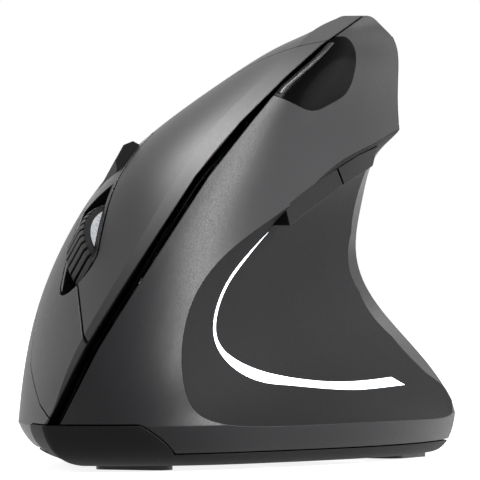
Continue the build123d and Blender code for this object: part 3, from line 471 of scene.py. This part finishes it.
class MOUSE_OT_wheel(bpy.types.Operator):
    """Finishes the ribbed tyre and the plated hub"""
    bl_idname = "mouse.wheel"
    bl_label = "Scroll wheel"

    def execute(self, context):
        colours = context.scene.mouse_colours
        # Silicone rubber, moulded: black, dull, with a dusty bloom on the ribs
        tyre = moulded("silicone_rubber_moulded", hexed(colours.tyre), "1D1D1F", 0.62, 0.25, 0.03, 0.35)
        dress(["scroll_tyre"], tyre)
        # ABS, chromium plated: bright and nearly smooth
        hub = metal("abs_chrome_plated", hexed(colours.plating), "A9ABAF", 0.14, 0.6, 1.0)
        dress(["scroll_hub"], hub)
        return {"FINISHED"}


class MOUSE_OT_keys(bpy.types.Operator):
    """Finishes the side keys, the rocker behind the wheel and the power knob"""
    bl_idname = "mouse.keys"
    bl_label = "Keys"

    def execute(self, context):
        colours = context.scene.mouse_colours
        # ABS, semi-polished: darker and shinier than the skin round it
        key = moulded("abs_semi_polish", hexed(colours.key), "18181A", 0.3, 0.5, 0.008, 0.08)
        dress(["forward_button", "back_button", "dpi_button", "power_slider"], key)
        # ABS, pad-printed in pale grey: the rear slope of the rocker
        plate = moulded("abs_pad_printed", "8E9094", "9A9CA0", 0.4, 0.5, 0.01, 0.3)
        vertices, faces = rear_faces("dpi_button")
        if not faces:
            raise RuntimeError("the rocker has no rear slope")
        piece_from("rocker_rear_plate", vertices, faces, plate, "dpi_rocker", smooth=False)
        return {"FINISHED"}


class MOUSE_OT_underside(bpy.types.Operator):
    """Finishes the glide feet, the screws, the lens and the receiver's sleeve"""
    bl_idname = "mouse.underside"
    bl_label = "Underside"

    def execute(self, context):
        # PTFE sheet, skived: dark, waxy, with faint parallel knife marks
        foot = moulded("ptfe_skived", "1A1A1C", "242427", 0.38, 0.8, 0.01, 0.35)
        dress(["front_foot", "rear_feet"], foot)
        # Steel, zinc plated: grey with fine turning marks
        screw = metal("steel_zinc_plated", "A6A9AD", "7F8286", 0.36, 0.3, 6.0)
        dress(["case_screws", "battery_contacts", "receiver_plug"], screw)
        # Polycarbonate, polished and clear, with a faint smoke tint
        lens, tree = material("polycarbonate_clear")
        place = add(tree, "ShaderNodeTexCoord")
        haze = add(tree, "ShaderNodeTexNoise", None,
                   {"Vector": place.outputs["Object"], "Scale": per_metre(3), "Detail": 2.0})
        rough = add(tree, "ShaderNodeMapRange", None,
                    {"Value": haze.outputs["Fac"], "To Min": 0.03, "To Max": 0.09})
        shader = add(tree, "ShaderNodeBsdfPrincipled", None,
                     {"Base Color": linear("D6DADE"), "Roughness": rough.outputs["Result"], "IOR": 1.58,
                      "Transmission Weight": 0.9})
        add(tree, "ShaderNodeOutputMaterial", None, {"Surface": shader.outputs["BSDF"]})
        dress(["sensor_lens"], lens)
        return {"FINISHED"}


class MOUSE_OT_insides(bpy.types.Operator):
    """Finishes the boards, the switches, the wheel's cradle and the cells"""
    bl_idname = "mouse.insides"
    bl_label = "Insides"

    def execute(self, context):
        # Glass-fibre laminate under solder resist: deep green with a faint weave
        board, tree = material("glass_fibre_solder_resist")
        place = add(tree, "ShaderNodeTexCoord")
        weave = add(tree, "ShaderNodeTexChecker", None,
                    {"Vector": place.outputs["Object"], "Scale": per_metre(1.2), "Color1": linear("123D22"),
                     "Color2": linear("174A2A")})
        cloud = add(tree, "ShaderNodeTexNoise", None,
                    {"Vector": place.outputs["Object"], "Scale": per_metre(4), "Detail": 2.0})
        rough = add(tree, "ShaderNodeMapRange", None,
                    {"Value": cloud.outputs["Fac"], "To Min": 0.26, "To Max": 0.4})
        shader = add(tree, "ShaderNodeBsdfPrincipled", None,
                     {"Base Color": weave.outputs["Color"], "Roughness": rough.outputs["Result"], "IOR": 1.5})
        add(tree, "ShaderNodeOutputMaterial", None, {"Surface": shader.outputs["BSDF"]})
        dress(["button_board", "main_board"], board)
        # Nylon, plain moulding: dark grey and slightly waxy
        frame_finish = moulded("nylon_moulded", "303134", "37383B", 0.45, 0.6, 0.02, 0.45)
        dress(["inner_frame", "wheel_carrier"], frame_finish)
        # Polyester switch housing, moulded: black and dull
        switch = moulded("polyester_moulded", "161617", "1C1C1E", 0.4, 0.5, 0.02, 0.45)
        dress(["left_switch", "right_switch", "wheel_switch", "dpi_switch", "wheel_encoder", "power_switch",
               "sensor_chip"], switch)
        # Acetal plunger, moulded: red and smooth
        plunger = moulded("acetal_moulded", "9A2A20", "A83428", 0.3, 0.5, 0.01, 0.5)
        dress(["left_plunger", "right_plunger", "wheel_plunger", "dpi_plunger"], plunger)
        # PVC shrink sleeve over the cell: glossy and even
        cell = moulded("pvc_sleeve", "3A3D42", "41454A", 0.25, 0.9, 0.01, 0.5)
        dress(["front_cell", "back_cell"], cell)
        return {"FINISHED"}


class MOUSE_OT_stage(bpy.types.Operator):
    """Builds the pale floor, the lamps and the camera"""
    bl_idname = "mouse.stage"
    bl_label = "Studio"

    def execute(self, context):
        scene = context.scene
        sizes = scene.mouse_sizes
        scene.view_settings.view_transform = "Standard"

        # Painted board, pale and matt: nearly white for the eye, it keeps the soft shadow under the mouse,
        # and it is clear from below, so that the underside can be looked at
        finish, tree = material("painted_board")
        place = add(tree, "ShaderNodeTexCoord")
        cloud = add(tree, "ShaderNodeTexNoise", None,
                    {"Vector": place.outputs["Object"], "Scale": per_metre(400), "Detail": 1.0})
        tint = add(tree, "ShaderNodeValToRGB", None, {"Fac": cloud.outputs["Fac"]})
        tint.color_ramp.elements[0].color = linear("B2B2B2")
        tint.color_ramp.elements[1].color = linear("B6B6B6")
        level = add(tree, "ShaderNodeMath", {"operation": "MULTIPLY"}, {0: seen_by_eye(tree), 1: FLOOR_GLOW})
        glow = add(tree, "ShaderNodeEmission", None, {"Color": linear("FFFFFF"), "Strength": level.outputs["Value"]})
        paint = add(tree, "ShaderNodeBsdfDiffuse", None, {"Color": tint.outputs["Color"]})
        both = add(tree, "ShaderNodeAddShader", None, {0: glow.outputs["Emission"], 1: paint.outputs["BSDF"]})
        side = add(tree, "ShaderNodeNewGeometry")
        clear = add(tree, "ShaderNodeBsdfTransparent")
        sided = add(tree, "ShaderNodeMixShader", None,
                    {0: side.outputs["Backfacing"], 1: both.outputs["Shader"], 2: clear.outputs["BSDF"]})
        add(tree, "ShaderNodeOutputMaterial", None, {"Surface": sided.outputs["Shader"]})

        vertices, faces = round_board()
        mesh = bpy.data.meshes.new("floor_board")
        mesh.from_pydata(vertices, [], faces)
        floor = bpy.data.objects.new("floor_board", mesh)
        floor.location.z = FLOOR_HEIGHT
        mesh.materials.append(finish)
        scene.collection.objects.link(floor)

        world = bpy.data.worlds.new("studio_air")
        scene.world = world
        world.use_nodes = True
        tree = world.node_tree
        tree.nodes.clear()
        strength = add(tree, "ShaderNodeMapRange", None,
                       {"Value": seen_by_eye(tree), "To Min": AIR_LIGHT, "To Max": AIR_SEEN})
        air = add(tree, "ShaderNodeBackground", None,
                  {"Color": linear("FFFFFF"), "Strength": strength.outputs["Result"]})
        add(tree, "ShaderNodeOutputWorld", None, {"Surface": air.outputs["Background"]})

        for name, spot, (wide, tall), power in LAMPS:
            data = bpy.data.lights.new(name, "AREA")
            data.shape = "RECTANGLE"
            data.size = wide
            data.size_y = tall
            data.energy = power
            pointed(name, data, Vector(spot))

        data = bpy.data.cameras.new("photo_view")
        data.sensor_width = SENSOR
        data.lens = LENS
        data.clip_end = REACH
        turn, rise = sizes.camera_azimuth, sizes.camera_elevation
        way = Vector((math.sin(turn) * math.cos(rise), -math.cos(turn) * math.cos(rise), math.sin(rise)))
        scene.camera = pointed("photo_view", data, way, sizes.camera_distance)
        return {"FINISHED"}


class MOUSE_PT_sidebar(bpy.types.Panel):
    bl_idname = "MOUSE_PT_sidebar"
    bl_label = "Vertical mouse"
    bl_space_type = "VIEW_3D"
    bl_region_type = "UI"
    bl_category = "Mouse"

    def draw(self, context):
        layout = self.layout
        for group in (context.scene.mouse_sizes, context.scene.mouse_colours):
            for name in group.__annotations__:
                layout.prop(group, name)
        for operator in OPERATORS:
            layout.operator(operator.bl_idname)


OPERATORS = [MOUSE_OT_shells, MOUSE_OT_thumb_rest, MOUSE_OT_trim, MOUSE_OT_light_guide, MOUSE_OT_wheel, MOUSE_OT_keys,
             MOUSE_OT_underside, MOUSE_OT_insides, MOUSE_OT_stage]
CLASSES = [MouseSizes, MouseColours] + OPERATORS + [MOUSE_PT_sidebar]


def register():
    for entry in CLASSES:
        bpy.utils.register_class(entry)
    bpy.types.Scene.mouse_sizes = bpy.props.PointerProperty(type=MouseSizes)
    bpy.types.Scene.mouse_colours = bpy.props.PointerProperty(type=MouseColours)


def unregister():
    del bpy.types.Scene.mouse_colours
    del bpy.types.Scene.mouse_sizes
    for entry in reversed(CLASSES):
        bpy.utils.unregister_class(entry)


def main():
    register()
    bpy.ops.mouse.shells()
    bpy.ops.mouse.thumb_rest()
    bpy.ops.mouse.trim()
    bpy.ops.mouse.light_guide()
    bpy.ops.mouse.wheel()
    bpy.ops.mouse.keys()
    bpy.ops.mouse.underside()
    bpy.ops.mouse.insides()
    bpy.ops.mouse.stage()


if __name__ == "__main__":
    main()
